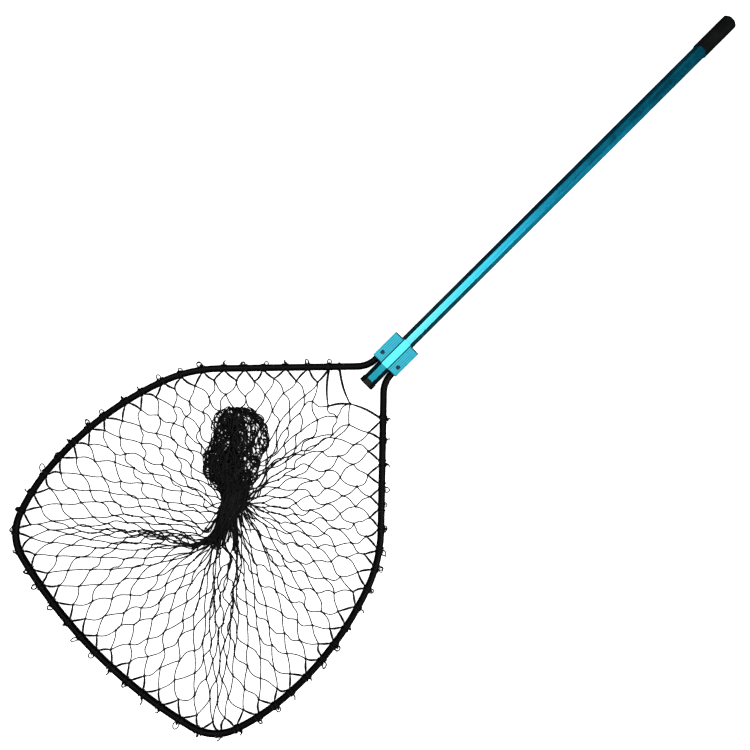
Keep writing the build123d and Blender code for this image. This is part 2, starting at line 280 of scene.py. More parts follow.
# ---- anodised aluminium: fine lengthwise extrusion lines; colour changing along the tube, partly dye tone and partly a painted highlight ---
def anodised(name, stops, along="X", rough=0.24, streak=1.0):
    k = Mat(name)
    x, y, z = k.sep()
    # lengthwise drawing lines: noise stretched a hundredfold along the extrusion
    st = k.scale(k.co, (2.0, 900.0, 900.0))
    lines = k.noise(1.0, 4.0, 0.65, st)
    st2 = k.scale(k.co, (0.8, 160.0, 160.0))
    broad = k.noise(1.0, 2.0, 0.5, st2)
    mott = k.noise(38.0, 4.0, 0.6)
    # colour along the tube from the stops: partly the dye's tone, partly a painted highlight, paler and whiter where
    # the lamp's reflection falls
    base = k.ramp(k.maprange(x, X0 - 0.05, X0 + 0.87, 0.0, 1.0), stops)
    dark = k.mix(k.maprange(lines, 0.35, 0.65, 0.0, 0.55 * streak), base, k.mix(0.5, base, (0.0, 0.02, 0.03)), "MIX")
    tint = k.mix(k.maprange(broad, 0.3, 0.7, 0.0, 0.22 * streak), dark, (0.0, 0.10, 0.16))
    k.l(tint, k.b.inputs["Base Color"])
    k.set(Metallic=1.0)
    r = k.math("ADD", k.maprange(lines, 0.3, 0.7, rough - 0.05, rough + 0.09), k.maprange(mott, 0.3, 0.7, -0.03, 0.04))
    k.l(r, k.b.inputs["Roughness"])
    k.l(k.bump(lines, 0.22, 0.00025), k.b.inputs["Normal"])
    k.set(Coat_Weight=0.06, Coat_Roughness=0.18)
    return k.m


# stops along the handle: darker at the front end; a painted highlight, palest and whitest just behind the yoke
# (0.13-0.20); dimmer midway; bluer towards the butt
handle_mat = anodised(
    "anodised_handle",
    [
        (0.0, (0.006, 0.14, 0.17)),
        (0.05, (0.008, 0.16, 0.20)),
        (0.13, (0.085, 0.43, 0.48)),
        (0.20, (0.065, 0.42, 0.48)),
        (0.28, (0.038, 0.38, 0.47)),
        (0.38, (0.020, 0.33, 0.47)),
        (0.50, (0.012, 0.33, 0.52)),
        (0.70, (0.012, 0.43, 0.68)),
        (1.0, (0.014, 0.50, 0.76)),
    ],
)


def yoke_material():
    """Anodised extrusion: a smooth raised rib, and ears scored with fine lengthwise ridges; the ears' colour is darker
    than the rib's, and is painted darker still along each ridge as painted shade in the grooves.
    """
    k = Mat("anodised_yoke")
    x, y, z = k.sep()
    st = k.scale(k.co, (3.0, 700.0, 700.0))
    lines = k.noise(1.0, 4.0, 0.6, st)
    ridges = k.wave(92.0, None, 0.2, "Y", "SIN", 1.0)
    mott = k.noise(60.0, 4.0, 0.6)
    ear = k.maprange(k.math("ABSOLUTE", y), 0.0088, 0.0094, 0.0, 1.0)
    rib = k.mix(k.maprange(lines, 0.3, 0.7, 0.0, 0.5), (0.062, 0.42, 0.45), (0.038, 0.31, 0.36))
    ears = k.mix(k.maprange(lines, 0.3, 0.7, 0.0, 0.8), (0.036, 0.30, 0.36), (0.015, 0.16, 0.22))
    # painted shade: the ear colour darkens along the ridge wave, where the grooves would be in shade
    ears = k.mix(k.math("MULTIPLY", k.maprange(ridges, 0.25, 0.75, 0.0, 1.0), 0.85), ears, (0.006, 0.095, 0.15))
    base = k.mix(ear, rib, ears)
    base = k.mix(k.maprange(mott, 0.45, 0.75, 0.0, 0.18), base, (0.02, 0.36, 0.42))
    k.l(base, k.b.inputs["Base Color"])
    k.set(Metallic=1.0, Coat_Weight=0.05, Coat_Roughness=0.25)
    r = k.math("ADD", k.maprange(lines, 0.3, 0.7, 0.26, 0.36), k.math("MULTIPLY", ear, 0.08))
    k.l(r, k.b.inputs["Roughness"])
    n1 = k.bump(k.math("MULTIPLY", ridges, ear), 0.35, 0.0002)
    k.l(k.bump(lines, 0.3, 0.0003, n1), k.b.inputs["Normal"])
    return k.m


def hoop_material():
    """Black powder coat over aluminium tube: faint orange peel, small rubbed specks where twine runs."""
    k = Mat("hoop_coating")
    peel = k.noise(1400.0, 2.0, 0.5)
    fine = k.noise(240.0, 4.0, 0.6)
    rub = k.noise(26.0, 5.0, 0.65)
    base = k.mix(k.maprange(rub, 0.55, 0.78, 0.0, 0.7), (0.0002, 0.0002, 0.0003), (0.0012, 0.0013, 0.0012))
    k.l(base, k.b.inputs["Base Color"])
    k.l(k.maprange(fine, 0.3, 0.7, 0.34, 0.5), k.b.inputs["Roughness"])
    k.l(k.bump(peel, 0.25, 0.0002), k.b.inputs["Normal"])
    k.set(Specular_IOR_Level=0.045)
    return k.m


def plastic(name, col, rough=0.45, grain=900.0, spec=0.45):
    k = Mat(name)
    g = k.noise(grain, 3.0, 0.6)
    s = k.noise(70.0, 4.0, 0.6)
    c2 = tuple(min(1.0, c * 1.7 + 0.001) for c in col)
    k.l(k.mix(k.maprange(s, 0.4, 0.75, 0.0, 0.6), col, c2), k.b.inputs["Base Color"])
    k.l(k.maprange(g, 0.3, 0.7, rough - 0.07, rough + 0.08), k.b.inputs["Roughness"])
    k.l(k.bump(g, 0.3, 0.0002), k.b.inputs["Normal"])
    k.set(Specular_IOR_Level=spec)
    return k.m


def grip_material():
    """Dipped vinyl: smooth, slightly soft gloss, faint lengthwise flow marks and handling marks."""
    k = Mat("grip_vinyl")
    flow = k.noise(1.0, 3.0, 0.5, k.scale(k.co, (12.0, 150.0, 150.0)))
    pits = k.noise(1500.0, 2.0, 0.5)
    hand = k.noise(45.0, 5.0, 0.65)
    k.l(k.mix(k.maprange(hand, 0.45, 0.75, 0.0, 0.6), (0.0012, 0.0013, 0.0014), (0.006, 0.0062, 0.0065)), k.b.inputs["Base Color"])
    k.l(k.maprange(hand, 0.3, 0.7, 0.33, 0.5), k.b.inputs["Roughness"])
    n1 = k.bump(flow, 0.25, 0.0006)
    k.l(k.bump(pits, 0.2, 0.0002, n1), k.b.inputs["Normal"])
    k.set(Specular_IOR_Level=0.14)
    return k.m


def steel(name, col=(0.35, 0.35, 0.36), rough=0.3):
    k = Mat(name)
    g = k.noise(600.0, 4.0, 0.6)
    s = k.noise(90.0, 4.0, 0.6)
    k.l(k.mix(k.maprange(s, 0.35, 0.75, 0.0, 0.6), col, tuple(c * 0.55 for c in col)), k.b.inputs["Base Color"])
    k.set(Metallic=1.0)
    k.l(k.maprange(g, 0.3, 0.7, rough - 0.06, rough + 0.1), k.b.inputs["Roughness"])
    k.l(k.bump(g, 0.2, 0.0001), k.b.inputs["Normal"])
    return k.m


def foam():
    k = Mat("float_foam")
    v = k.n("ShaderNodeTexVoronoi")
    v.inputs["Scale"].default_value = 420.0
    k.l(k.co, v.inputs["Vector"])
    d = v.outputs["Distance"]
    k.l(k.ramp(d, [(0.0, (0.86, 0.86, 0.82)), (0.6, (0.74, 0.74, 0.70))]), k.b.inputs["Base Color"])
    k.set(Roughness=0.8)
    k.l(k.bump(d, 0.5, 0.0006), k.b.inputs["Normal"])
    return k.m


def twine_material():
    """Black nylon twine: helical lay from the u coordinate along each strand, with painted shade in the lay's grooves,
    fuzz and dust.
    """
    k = Mat("net_twine")
    uv = k.n("ShaderNodeAttribute", attribute_name="lay").outputs["Vector"]
    u, v, w = k.sep(uv)
    # u = metres along the strand, v = angle round it (0..1); a two-ply lay of 3.2 mm
    ang = k.math("ADD", k.math("MULTIPLY", u, 1.0 / 0.0032), k.math("MULTIPLY", v, 2.0))
    ply = k.math("SINE", k.math("MULTIPLY", ang, 2 * math.pi))
    fuzz = k.noise(2600.0, 3.0, 0.7)
    dust = k.noise(60.0, 4.0, 0.6)
    # painted shade: the colour darkens in the grooves between the plies and lightens on their crests, following the lay
    base = k.mix(k.maprange(ply, -1.0, 1.0, 0.0, 1.0), (0.0004, 0.0004, 0.0005), (0.0016, 0.0016, 0.0017))
    base = k.mix(k.maprange(dust, 0.5, 0.8, 0.0, 0.5), base, (0.003, 0.003, 0.003))
    k.l(base, k.b.inputs["Base Color"])
    k.l(k.maprange(fuzz, 0.3, 0.7, 0.36, 0.58), k.b.inputs["Roughness"])
    n1 = k.bump(ply, 0.5, 0.0003)
    k.l(k.bump(fuzz, 0.25, 0.00015, n1), k.b.inputs["Normal"])
    k.set(Sheen_Weight=0.0, Specular_IOR_Level=0.12)
    return k.m


put("hoop_tube", hoop_material())
put("yoke_block", yoke_material())
put("handle_tube", handle_mat)
put("front_cap", plastic("cap_plastic", (0.0006, 0.0006, 0.0007), 0.5, spec=0.12))
put("butt_grip", grip_material())
put("arm_bore_plugs", plastic("plug_plastic", (0.006, 0.006, 0.006), 0.45))
put("hoop_end_dowels", plastic("dowel_plastic", (0.5, 0.5, 0.47), 0.5))
put("yoke_liner", plastic("liner_plastic", (0.55, 0.55, 0.52), 0.42))
put("hoop_screws", steel("black_oxide_screw", (0.014, 0.030, 0.036), 0.36))
put("liner_set_screws", steel("screw_steel", (0.3, 0.3, 0.31), 0.32))
put("lock_rivet", steel("rivet_steel", (0.5, 0.5, 0.5), 0.28))
put("lock_spring", steel("spring_steel", (0.4, 0.4, 0.41), 0.26))
put("lock_button", steel("button_brass", (0.62, 0.44, 0.17), 0.28))
put("front_float", foam())
put("butt_float", nodes["front_float"].data.materials[0])
for nm, ang in (("hoop_tube", 40), ("yoke_block", 22), ("handle_tube", 22), ("front_cap", 24), ("butt_grip", 30),
                ("arm_bore_plugs", 40), ("hoop_screws", 35), ("lock_button", 35)):
    shade(nodes[nm], ang)
twine_mat = twine_material()

# ---------------------------------------------------------------------------------------------------------------
# twine geometry
# ---------------------------------------------------------------------------------------------------------------


class Strands:
    """Collects many twine paths and knots into one mesh with a 'lay' attribute (length, angle)."""

    def __init__(self, sides=6):
        self.sides = sides
        self.v, self.f, self.lay = [], [], []
        self.count = 0

    def tube(self, pts, radius, cap=True):
        pts = np.asarray(pts, float)
        keep = np.concatenate([[True], np.linalg.norm(np.diff(pts, axis=0), axis=1) > 1e-6])
        pts = pts[keep]
        n = len(pts)
        if n < 2:
            return
        r = np.full(n, radius) if np.isscalar(radius) else np.asarray(radius)[keep]
        tan = np.gradient(pts, axis=0)
        tan /= np.linalg.norm(tan, axis=1)[:, None] + 1e-12
        # parallel-transported frame
        ref = np.array([0.0, 0.0, 1.0]) if abs(tan[0][2]) < 0.9 else np.array([1.0, 0.0, 0.0])
        nrm = np.zeros_like(pts)
        a = np.cross(ref, tan[0])
        a /= np.linalg.norm(a)
        for i in range(n):
            a = a - tan[i] * a.dot(tan[i])
            a /= np.linalg.norm(a) + 1e-12
            nrm[i] = a
        bi = np.cross(tan, nrm)
        s = np.concatenate([[0], np.cumsum(np.linalg.norm(np.diff(pts, axis=0), axis=1))])
        k = self.sides
        th = np.arange(k) * 2 * math.pi / k
        ring = (
            pts[:, None, :]
            + r[:, None, None] * (np.cos(th)[None, :, None] * nrm[:, None, :] + np.sin(th)[None, :, None] * bi[:, None, :])
        )
        base = self.count
        self.v.append(ring.reshape(-1, 3))
        lay = np.zeros((n, k, 3))
        lay[:, :, 0] = s[:, None]
        lay[:, :, 1] = np.arange(k)[None, :] / k
        self.lay.append(lay.reshape(-1, 3))
        i = np.arange(n - 1)[:, None]
        j = np.arange(k)[None, :]
        q = np.stack([
            base + i * k + j, base + i * k + (j + 1) % k, base + (i + 1) * k + (j + 1) % k, base + (i + 1) * k + j
        ], -1).reshape(-1, 4)
        self.f.extend(q.tolist())
        if cap:
            self.f.append([base + x for x in range(k)][::-1])
            self.f.append([base + (n - 1) * k + x for x in range(k)])
        self.count += n * k

    def knot(self, c, size, d, flat=0.8, rng=None):
        """A small overhand knot: a lobed closed blob stretched along d."""
        d = np.array([d[0], d[1], 0.0])
        d /= np.linalg.norm(d) + 1e-9
        e = np.array([-d[1], d[0], 0.0])
        z = np.array([0, 0, 1.0])
        m, k = 5, 8
        base = self.count
        vs, ls = [], []
        vs.append(c + d * size)
        ls.append((0, 0, 0))
        for i in range(1, m):
            p = math.pi * i / m
            for j in range(k):
                t = 2 * math.pi * j / k
                lob = 1 + 0.22 * math.cos(2 * t + 3 * p) + 0.10 * math.sin(3 * t - p)
                rad = size * 0.78 * math.sin(p) * lob
                vs.append(c + d * size * math.cos(p) + e * rad * math.cos(t) + z * rad * flat * math.sin(t))
                ls.append((size * 2 * i / m, j / k, 0))
        vs.append(c - d * size)
        ls.append((size * 2, 0, 0))
        for j in range(k):
            self.f.append([base, base + 1 + j, base + 1 + (j + 1) % k])
        for i in range(m - 2):
            for j in range(k):
                a = base + 1 + i * k
                self.f.append([a + j, a + k + j, a + k + (j + 1) % k, a + (j + 1) % k])
        last = base + 1 + (m - 1) * k
        a = base + 1 + (m - 2) * k
        for j in range(k):
            self.f.append([last, a + (j + 1) % k, a + j])
        self.v.append(np.array(vs))
        self.lay.append(np.array(ls, float))
        self.count += len(vs)

    def build(self, name):
        v = np.vstack(self.v)
        lay = np.vstack(self.lay)
        me = bpy.data.meshes.new(name)
        me.from_pydata(v.tolist(), [], self.f)
        at = me.attributes.new("lay", "FLOAT_VECTOR", "POINT")
        at.data.foreach_set("vector", lay.astype(np.float32).ravel())
        me.shade_smooth()
        me.materials.append(twine_mat)
        o = bpy.data.objects.new(name, me)
        coll.objects.link(o)
        return o


def smooth_path(pts, n):
    """Catmull-Rom through pts, sampled to about n points per span."""
    p = np.asarray(pts, float)
    q = np.vstack([2 * p[0] - p[1], p, 2 * p[-1] - p[-2]])
    out = []
    for i in range(1, len(q) - 2):
        a, b, c, d = q[i - 1], q[i], q[i + 1], q[i + 2]
        for t in np.linspace(0, 1, n, endpoint=False):
            out.append(0.5 * (2 * b + (c - a) * t + (2 * a - 5 * b + 4 * c - d) * t * t + (3 * b - a - 3 * c + d) * t ** 3))
    out.append(p[-1])
    return np.array(out)


# ---------------------------------------------------------------------------------------------------------------
# the netting: a knotted diamond mesh from the hoop to the neck, laid by relaxing inextensible bars
# ---------------------------------------------------------------------------------------------------------------
rng = np.random.default_rng(11)
BAR = 0.0350
SUB = 4  # segments per bar
NECK = np.array([X0 - 0.404, -0.002])
WAIST = np.array([X0 - 0.353, 0.027])

S0, S1 = 0.0485 + 0.040, HOOP_LEN - 0.0485 - 0.040
N_ATT = 51
ATT = np.linspace(S0, S1, N_ATT) + np.concatenate([[0], rng.normal(0, 0.0022, N_ATT - 2), [0]])


def at(mx, my):
    """Millimetres from the yoke's front face on the handle's axis, to metres in the row frame."""
    return np.array([X0 + mx / 1000.0, my / 1000.0])


def border_knot(k):
    s = 0.5 * (ATT[k] + ATT[k + 1])
    p, t, n = hoop_at(s)
    return p + n * (HOOP_R + rng.uniform(0.013, 0.021)) + t * rng.normal(0, 0.002), s / HOOP_LEN


B = []
BS = []
for k in range(N_ATT - 1):
    p, s = border_knot(k)
    B.append(p)
    BS.append(s)
# two knots on the throat cord close the bag's edge between the arms
for mx, my, s in ((-92, -5, 1.0), (-123, 20, 1.02)):
    B.append(at(mx, my))
    BS.append(s)
B = np.array(B)
M = len(B)
ROWS = 18

# where each direction is drawn in at the neck: s as a share of the hoop's length, place in mm, slack
GATHER = [
    (0.00, -318, 9, 1.08),
    (0.05, -309, 20, 1.08),
    (0.10, -313, 32, 1.08),
    (0.15, -340, 42, 1.12),
    (0.20, -376, 36, 1.12),
    (0.25, -402, 24, 1.08),
    (0.30, -440, 14, 1.04),
    (0.35, -472, 22, 1.01),
    (0.39, -480, 18, 1.00),
    (0.44, -480, 8, 1.00),
    (0.48, -473, -5, 1.00),
    (0.53, -464, -18, 1.02),
    (0.58, -453, -31, 1.00),
    (0.63, -443, -42, 1.00),
    (0.68, -432, -52, 1.00),
    (0.73, -412, -53, 1.03),
    (0.78, -376, -47, 1.08),
    (0.82, -352, -40, 1.12),
    (0.88, -346, -14, 1.14),
    (0.94, -337, -8, 1.08),
    (1.00, -326, 0, 1.06),
    (1.03, -320, 6, 1.08),
]
G = np.array(GATHER)


def gather(s):
    return np.array([
        X0 + np.interp(s, G[:, 0], G[:, 1]) / 1000, np.interp(s, G[:, 0], G[:, 2]) / 1000
    ]), float(np.interp(s, G[:, 0], G[:, 3]))


def border_interp(a):
    i = int(math.floor(a)) % M
    j = (i + 1) % M
    f = a - math.floor(a)
    sa, sb = BS[i], BS[j]
    if j == 0:
        sb = 1.045
    s = sa + (sb - sa) * f
    return B[i] * (1 - f) + B[j] * f, s


def hoop_normal(a):
    i = int(math.floor(a)) % M
    if i >= N_ATT - 1:
        return np.array([-1.0, 0.0])
    k = min(N_ATT - 2, i)
    s = 0.5 * (ATT[k] + ATT[k + 1]) + (a - math.floor(a)) * 0.038
    return hoop_at(s)[2]


# how strongly each direction leaves the hoop square to it
SQUARE = np.array([
    (0.00, 0.45), (0.12, 0.62), (0.28, 0.58), (0.34, 0.42), (0.42, 0.34), (0.50, 0.40), (0.56, 0.28), (0.62, 0.14), (0.68, 0.30),
    (0.76, 0.48), (0.90, 0.52), (1.00, 0.42),
])
# the drawn-together roots run on from the gather points: from the left, from below, from below right
UP_NECK = [at(-355, 27), at(-338, 42), at(-320, 58), at(-300, 76)]
ROOT_LEFT = [at(-461, 6), at(-434, -1), at(-406, 4), at(-373, 17)] + UP_NECK
ROOT_LOW = [at(-468, -15), at(-445, -10), at(-416, -1), at(-381, 15)] + UP_NECK
ROOT_RIGHT = [at(-424, -59), at(-414, -41), at(-398, -18), at(-369, 3)] + UP_NECK


def flow(a):
    """The way one direction of the netting runs: square to the hoop at first, then round to its gather point, then up the neck."""
    b, s = border_interp(a)
    g, slack = gather(s)
    d = np.linalg.norm(g - b)
    n = hoop_normal(a)
    w = float(np.interp(s, SQUARE[:, 0], SQUARE[:, 1]))
    c = b + n * 0.46 * d * w + (g - b) * 0.46 * (1 - w)
    t = np.linspace(0, 1, 30)[:, None]
    line = b * (1 - t) ** 2 + 2 * c * t * (1 - t) + g * t ** 2
    # on from the gather point into the neck
    if 0.32 < s < 0.47:
        tail = ROOT_LEFT
    elif 0.47 <= s < 0.645:
        tail = ROOT_LOW
    elif 0.645 <= s < 0.76:
        tail = ROOT_RIGHT
    else:
        tail = UP_NECK
    # skip the part of the root that lies behind the gather point
    aim = UP_NECK[1] - g
    aim = aim / np.linalg.norm(aim)
    tail = [q for q in tail if (q - g).dot(aim) > 0.006]
    # the lower roots stay fanned out until they reach the neck
    if 0.47 <= s < 0.76:
        run = UP_NECK[0] - g
        for k, q in enumerate(tail):
            f = (q - g).dot(run) / run.dot(run)
            if f < 0.98:
                tail[k] = q * 0.4 + (g + run * f) * 0.6
    line = np.vstack([line, smooth_path(np.array([g] + tail), 6)[1:]])
    ln = np.concatenate([[0], np.cumsum(np.linalg.norm(np.diff(line, axis=0), axis=1))])
    return line, ln, float(ln[29]), s, slack


index = {}
P = []
W = []  # inverse mass: 0 is pinned
AT_NECK = []  # how far past the gather point each knot is, in metres
pos_of = {}
for half in (0, 1):
    for i in range(M):
        a = i + 0.5 * half
        line, ln, d, s, slack = flow(a)
        lane = rng.normal(0, 0.0034)
        pos = 0.0
        for r in range(0, ROWS):
            if r > 0:
                t = min(1.0, pos / d)
                w = 0.038 * (1 - t) ** 0.8
                h = math.sqrt(BAR ** 2 - (w / 2) ** 2) * 0.985
                pos += h / (slack if pos < d else 1.0)
            if r % 2 != half:
                continue
            q = min(pos, ln[-1])
            xy = np.array([np.interp(q, ln, line[:, 0]), np.interp(q, ln, line[:, 1])])
            past = pos - d
            if past > 0:
                ahead = np.array([np.interp(q + 0.004, ln, line[:, 0]), np.interp(q + 0.004, ln, line[:, 1])]) - xy
                ahead = ahead / (np.linalg.norm(ahead) + 1e-9)
                xy = xy + np.array([-ahead[1], ahead[0]]) * lane * min(1.0, 0.2 + past / 0.03) + rng.normal(0, 0.0013, 2)
            elif r > 0:
                xy = xy + rng.normal(0, 0.0010, 2) * min(1.0, -past / 0.08)
            if r == 0:
                xy = B[i].copy()
            pos_of[(r, i)] = (xy, past)
for r in range(ROWS):
    for i in range(M):
        xy, past = pos_of[(r, i)]
        index[(r, i)] = len(P)
        P.append(xy)
        AT_NECK.append(past)
        W.append(0.0 if (r == 0 or past > -0.004) else 1.0)
knot_n = len(P)
bars = []
for r in range(1, ROWS):
    for i in range(M):
        u = index[(r, i)]
        if r % 2 == 1:
            pr = ((r - 1, i), (r - 1, (i + 1) % M))
        else:
            pr = ((r - 1, (i - 1) % M), (r - 1, i))
        for q in pr:
            w = index[q]
            if AT_NECK[w] > 0.11:
                continue
            bars.append((w, u, r))
P = np.array(P)
W = np.array(W)
AT_NECK = np.array(AT_NECK)


def project(P, ia, ib, rest, mode, k):
    d = P[ib] - P[ia]
    ln = np.linalg.norm(d, axis=1) + 1e-12
    if mode == "max":
        c = np.maximum(0.0, ln - rest)
    elif mode == "min":
        c = np.minimum(0.0, ln - rest)
    else:
        c = ln - rest
    wa, wb = W[ia], W[ib]
    ws = wa + wb
    ok = ws > 0
    f = np.zeros_like(ln)
    f[ok] = k * c[ok] / ws[ok]
    dv = d / ln[:, None] * f[:, None]
    acc = np.zeros_like(P)
    cnt = np.zeros(len(P))
    for ax in range(2):
        acc[:, ax] += np.bincount(ia, dv[:, ax] * wa, len(P)) - np.bincount(ib, dv[:, ax] * wb, len(P))
    hit = (np.abs(c) > 1e-9).astype(float)
    cnt += np.bincount(ia, hit, len(P)) + np.bincount(ib, hit, len(P))
    return P + acc / np.maximum(cnt, 1.0)[:, None] * 1.6


# first the knots alone: bars share the tension out
kb_a = np.array([q[0] for q in bars])
kb_b = np.array([q[1] for q in bars])
deg_k = np.bincount(np.concatenate([kb_a, kb_b]), minlength=len(P)).astype(float)
for it in range(260):
    mean = np.zeros_like(P)
    for ax in range(2):
        mean[:, ax] = np.bincount(kb_a, P[kb_b, ax], len(P)) + np.bincount(kb_b, P[kb_a, ax], len(P))
    mean /= np.maximum(deg_k, 1)[:, None]
    P = P + (mean - P) * (W * (deg_k > 1) * 0.05)[:, None]
    P = project(P, kb_a, kb_b, 0.93 * BAR, "min", 0.25)
    P = project(P, kb_a, kb_b, 0.985 * BAR, "max", 1.0)
jit = rng.normal(0, 0.0013, P.shape) * W[:, None] * np.clip(-AT_NECK / 0.08, 0, 1)[:, None]
P = P + jit
P = list(P)
W = list(W)
# every bar has SUB-1 points along it
seg_a, seg_b, seg_l, bend_a, bend_b, chains, above, below = [], [], [], [], [], [], {}, {}
for n_bar, (a, b, r) in enumerate(bars):
    pa, pb = P[a], P[b]
    d = pb - pa
    ln = np.linalg.norm(d) + 1e-9
    nrm = np.array([-d[1], d[0]]) / ln
    near = min(1.0, max(0.0, -(AT_NECK[a] + AT_NECK[b]) / 2 / 0.11))
    e = (0.004 + abs(rng.normal(0.035, 0.022)) * near) if r > 1 else abs(rng.normal(0.03, 0.02))
    e = min(e, max(0.003, BAR * 1.03 / ln - 1.0))
    if BAR / ln - 1.0 > 0.16 and near > 0.5:
        e = max(e, min(0.13, 0.5 * (BAR / ln - 1.0)))
    amp = ln * math.sqrt(4 * e) / math.pi * rng.choice([-1.0, 1.0])
    skew = rng.normal(0, 0.25)
    chain = [a]
    for j in range(1, SUB):
        t = j / SUB
        P.append(pa + d * t + nrm * amp * (math.sin(math.pi * t) + skew * math.sin(2 * math.pi * t)))
        W.append(1.0)
        chain.append(len(P) - 1)
    chain.append(b)
    chains.append(chain)
    above.setdefault(b, []).append(n_bar)
    below.setdefault(a, []).append(n_bar)
    for j in range(SUB):
        seg_a.append(chain[j])
        seg_b.append(chain[j + 1])
        seg_l.append(ln * (1 + e) / SUB)
    for j in range(SUB - 1):
        bend_a.append(chain[j])
        bend_b.append(chain[j + 2])
# a strand runs on through its knot: upper left to lower right, upper right to lower left
cross_a, cross_b = [], []
first_of = {}
for n_bar, (a, b, r) in enumerate(bars):
    first_of[(a, b)] = n_bar
for r in range(1, ROWS - 1):
    for i in range(M):
        u = index[(r, i)]
        ups = ((r - 1, i), (r - 1, (i + 1) % M)) if r % 2 == 1 else ((r - 1, (i - 1) % M), (r - 1, i))
        # knots below u: in an odd row i they are i and i+1, in an even row i-1 and i
        lows = ((r + 1, i), (r + 1, (i + 1) % M)) if r % 2 == 1 else ((r + 1, (i - 1) % M), (r + 1, i))
        for up_, low_ in ((ups[0], lows[1]), (ups[1], lows[0])):
            p1, p2 = first_of.get((index[up_], u)), first_of.get((u, index[low_]))
            if p1 is None or p2 is None:
                continue
            cross_a.append(chains[p1][-2])
            cross_b.append(chains[p2][1])
seg_a, seg_b = np.array(seg_a), np.array(seg_b)
bend_a, bend_b = np.array(bend_a), np.array(bend_b)
bar_a = np.array([c[0] for c in chains])
bar_b = np.array([c[-1] for c in chains])
L = BAR / SUB
NP_ = len(P)

P = np.array(P)
W = np.array(W)
seg_l = np.array(seg_l)
cross_a, cross_b = np.array(cross_a), np.array(cross_b)
seg_mean = float(np.mean(seg_l))
bend_l = seg_l.reshape(-1, SUB)[:, 0].repeat(SUB - 1)
for it in range(160):
    P = project(P, seg_a, seg_b, seg_l, "eq", 1.0)
    P = project(P, bend_a, bend_b, 1.90 * bend_l, "min", 0.6)
    P = project(P, cross_a, cross_b, 1.80 * seg_mean, "min", 0.22)
P = project(P, seg_a, seg_b, seg_l, "eq", 1.0)

deg = np.bincount(np.concatenate([bar_a, bar_b]), minlength=knot_n)


# heights of the knots: on the floor, higher where the border legs rise to the hoop
kz = 0.0016 + np.abs(rng.normal(0, 0.0006, knot_n))
for i in range(M):
    kz[index[(0, i)]] = 0.0052
    kz[index[(1, i)]] = 0.0026
net = Strands(6)
neck = Strands(6)


def under_button(p, rx, ry):
    """True where the lock button stands over the netting with the handle slid right in: the twine lies flat there."""
    return abs(p[0] - (X0 + 0.028 - 0.645)) < rx and abs(p[1]) < ry


for (a, b, r), ch in zip(bars, chains):
    past = min(AT_NECK[a], AT_NECK[b])
    if past > -0.012:
        # drawn together: strands pile up and rise towards the heap
        zc = [0.003 + min(0.016, max(0.0, AT_NECK[q] + 0.02) * 0.16) * rng.uniform(0.25, 1.0) for q in (a, b)]
        pts = P[ch]
        z = np.linspace(zc[0], zc[1], len(ch)) + np.sin(np.linspace(0, math.pi, len(ch))) * rng.uniform(0, 0.0016)
        neck.tube(smooth_path(np.column_stack([pts, z]), 2), TW, cap=True)
        if rng.random() < 0.5:
            aa = rng.uniform(0, math.pi)
            neck.knot(np.array([P[b][0], P[b][1], zc[1]]), rng.uniform(0.0021, 0.0027), (math.cos(aa), math.sin(aa)), 0.9)
        continue
    pts = P[ch]
    za, zb = kz[a], kz[b]
    t = np.linspace(0, 1, len(ch))
    wob = 0.0004 + abs(rng.normal(0, 0.0006))
    z = za * (1 - t) + zb * t + wob * np.sin(math.pi * t)
    mid = (pts[0] + pts[-1]) / 2
    dn = np.linalg.norm(mid - NECK)
    z += np.where(r > 2, rng.uniform(0.0, 0.0016) * math.exp(-dn / 0.09), 0.0) * np.ones(len(ch))
    z = np.minimum(z, 0.0056)
    z = np.maximum(z, TW + 0.0001)
    if under_button((pts[0] + pts[-1]) / 2, 0.030, 0.026):
        z = np.full(len(ch), TW + 0.0001)
    net.tube(smooth_path(np.column_stack([pts, z]), 2), TW, cap=False)
for r in range(0, ROWS):
    for i in range(M):
        j = index[(r, i)]
        if deg[j] < 2 or (W[j] == 0 and r > 0):
            continue
        a = rng.uniform(0, math.pi)
        flat_here = under_button(P[j], 0.030, 0.026)
        net.knot(
            np.array([P[j][0], P[j][1], TW + 0.0001 if flat_here else max(kz[j], 0.0019)]), rng.uniform(0.0024, 0.0030),
            (math.cos(a), math.sin(a)), *((0.5,) if flat_here else ()),
        )
netting = net.build("netting")
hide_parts("net_skirt")
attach(netting, FRAME_BODY)

# ---------------------------------------------------------------------------------------------------------------
# border: each edge mesh's two doubled legs run to the hoop, turn round it and leave small loops outside
# ---------------------------------------------------------------------------------------------------------------
edge = Strands(6)
loops = Strands(6)
RW = HOOP_R + TW * 0.62 + 0.0001


def frame_on(s):
    p, t, n = hoop_at(s)
    return np.array([p[0], p[1], HOOP_Z]), np.array([t[0], t[1], 0.0]), np.array([n[0], n[1], 0.0])


def turn(s, drift, a0=0.0, a1=2 * math.pi, start=None, rad=RW, n=20):
    """One turn of twine round the hoop at s, drifting along it; angle 0 faces inward, positive goes over the top."""
    out = []
    for q in np.linspace(0, 1, n):
        c, t, nn = frame_on(s + drift * q)
        a = a0 + (a1 - a0) * q
        out.append(c + nn * rad * math.cos(a) + np.array([0, 0, 1.0]) * rad * math.sin(a))
    return out


